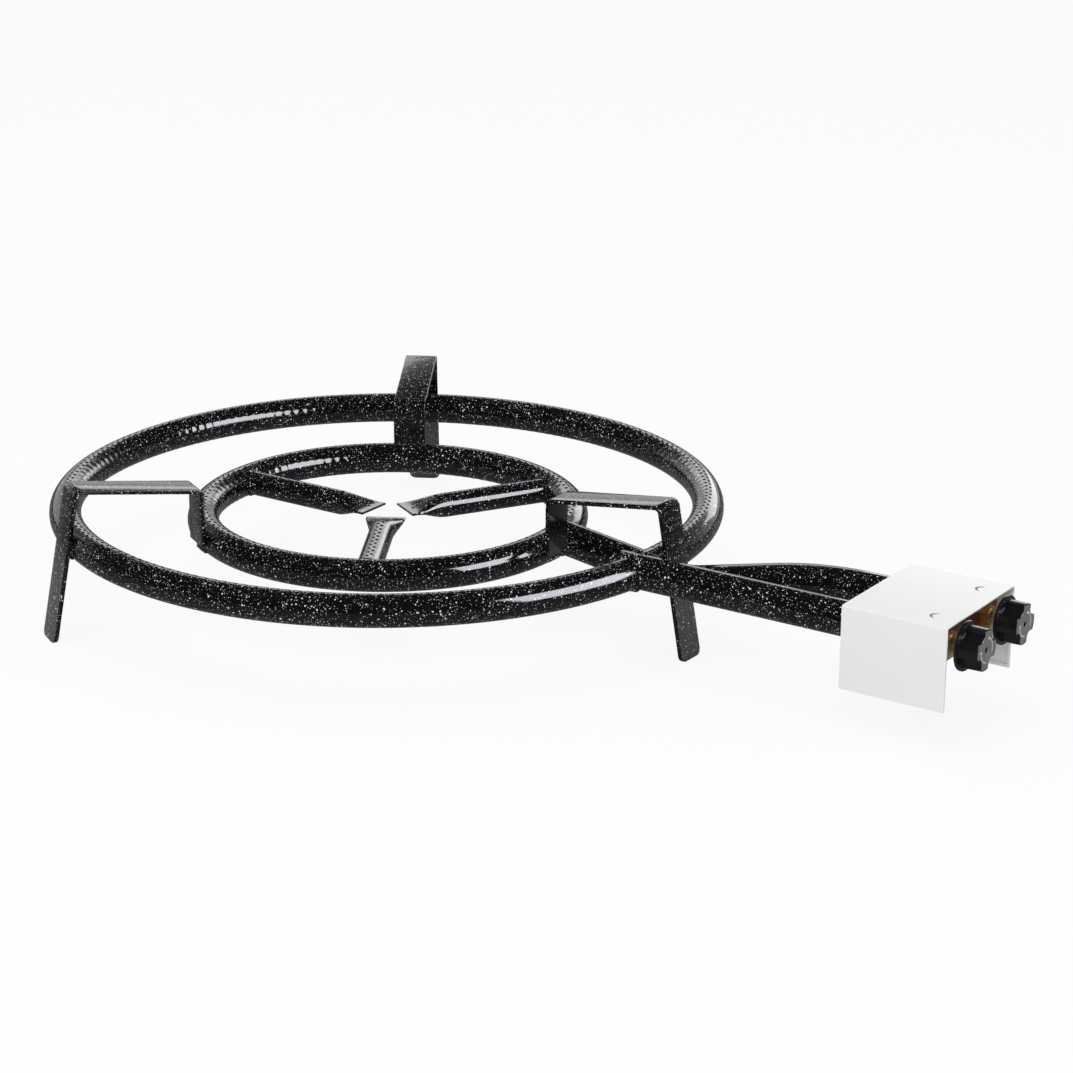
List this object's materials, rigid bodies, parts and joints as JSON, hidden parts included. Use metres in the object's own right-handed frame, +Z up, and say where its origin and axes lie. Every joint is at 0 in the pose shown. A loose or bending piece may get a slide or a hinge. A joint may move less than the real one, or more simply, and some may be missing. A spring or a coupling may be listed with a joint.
{
  "type": "paella burner",
  "caption": "Gas paella burner: perforated outer and inner tube rings on bent flat-bar legs that carry the pan, fed by two pipes from push-and-turn taps under a sheet-metal cover.",
  "frame": {"origin": "on the ground, at the middle of the burner's length and width", "axes": "+Z up, +X from the rings towards the knobs, +Y left when looking along +X"},
  "size_m": [0.9064, 0.5998, 0.1344],
  "materials": {
    "enamel": "gloss black vitreous enamel with white specks",
    "bar_enamel": "satin black enamel with fine white specks",
    "white_paint": "white powder coat",
    "yellow_zinc": "yellow passivated zinc",
    "zinc_steel": "bright zinc plate",
    "brass": "machined brass",
    "spring_steel": "plain spring steel",
    "seal": "black nitrile rubber",
    "black_plastic": "glossy black moulded plastic"
  },
  "bodies": {
    "burner": {"outer_ring": "enamel", "inner_ring": "enamel", "left_spoke": "enamel", "rear_spoke": "enamel", "right_spoke": "enamel", "outer_feed_pipe": "enamel", "outer_feed_cap": "enamel", "inner_feed_pipe": "enamel", "front_leg": "bar_enamel", "left_leg": "bar_enamel", "right_leg": "bar_enamel", "control_cover": "white_paint", "valve_chassis": "yellow_zinc", "cover_studs": "zinc_steel", "cover_nuts": "zinc_steel", "gas_manifold": "zinc_steel", "manifold_plug": "zinc_steel", "saddle_screws": "zinc_steel", "inlet_seal": "seal", "inlet_nut": "brass", "hose_nozzle": "brass", "outer_tap_body": "brass", "outer_tap_cap": "brass", "outer_tap_nut": "brass", "outer_injector": "brass", "outer_tap_seal": "seal", "outer_tap_saddle": "zinc_steel", "inner_tap_body": "brass", "inner_tap_cap": "brass", "inner_tap_nut": "brass", "inner_injector": "brass", "inner_tap_seal": "seal", "inner_tap_saddle": "zinc_steel"},
    "outer_plug": {"outer_tap_plug": "brass", "outer_tap_spring": "spring_steel"},
    "outer_control": {"outer_tap_spindle": "zinc_steel", "outer_knob": "black_plastic", "outer_knob_clip": "spring_steel"},
    "inner_plug": {"inner_tap_plug": "brass", "inner_tap_spring": "spring_steel"},
    "inner_control": {"inner_tap_spindle": "zinc_steel", "inner_knob": "black_plastic", "inner_knob_clip": "spring_steel"}
  },
  "joints": [
    {"name": "outer_turn", "type": "hinge", "parent": "burner", "child": "outer_plug", "pos_m": [0.41625, -0.035, 0.082], "axis": [1, 0, 0], "range_deg": [0, 180]},
    {"name": "outer_push", "type": "slide", "parent": "outer_plug", "child": "outer_control", "axis": [-1, 0, 0], "range_m": [0, 0.003], "stiffness_N_per_m": 900, "springref_m": -0.003, "deforming": ["outer_tap_spring"]},
    {"name": "inner_turn", "type": "hinge", "parent": "burner", "child": "inner_plug", "pos_m": [0.41625, 0.035, 0.082], "axis": [1, 0, 0], "range_deg": [0, 180]},
    {"name": "inner_push", "type": "slide", "parent": "inner_plug", "child": "inner_control", "axis": [-1, 0, 0], "range_m": [0, 0.003], "stiffness_N_per_m": 900, "springref_m": -0.003, "deforming": ["inner_tap_spring"]}
  ]
}
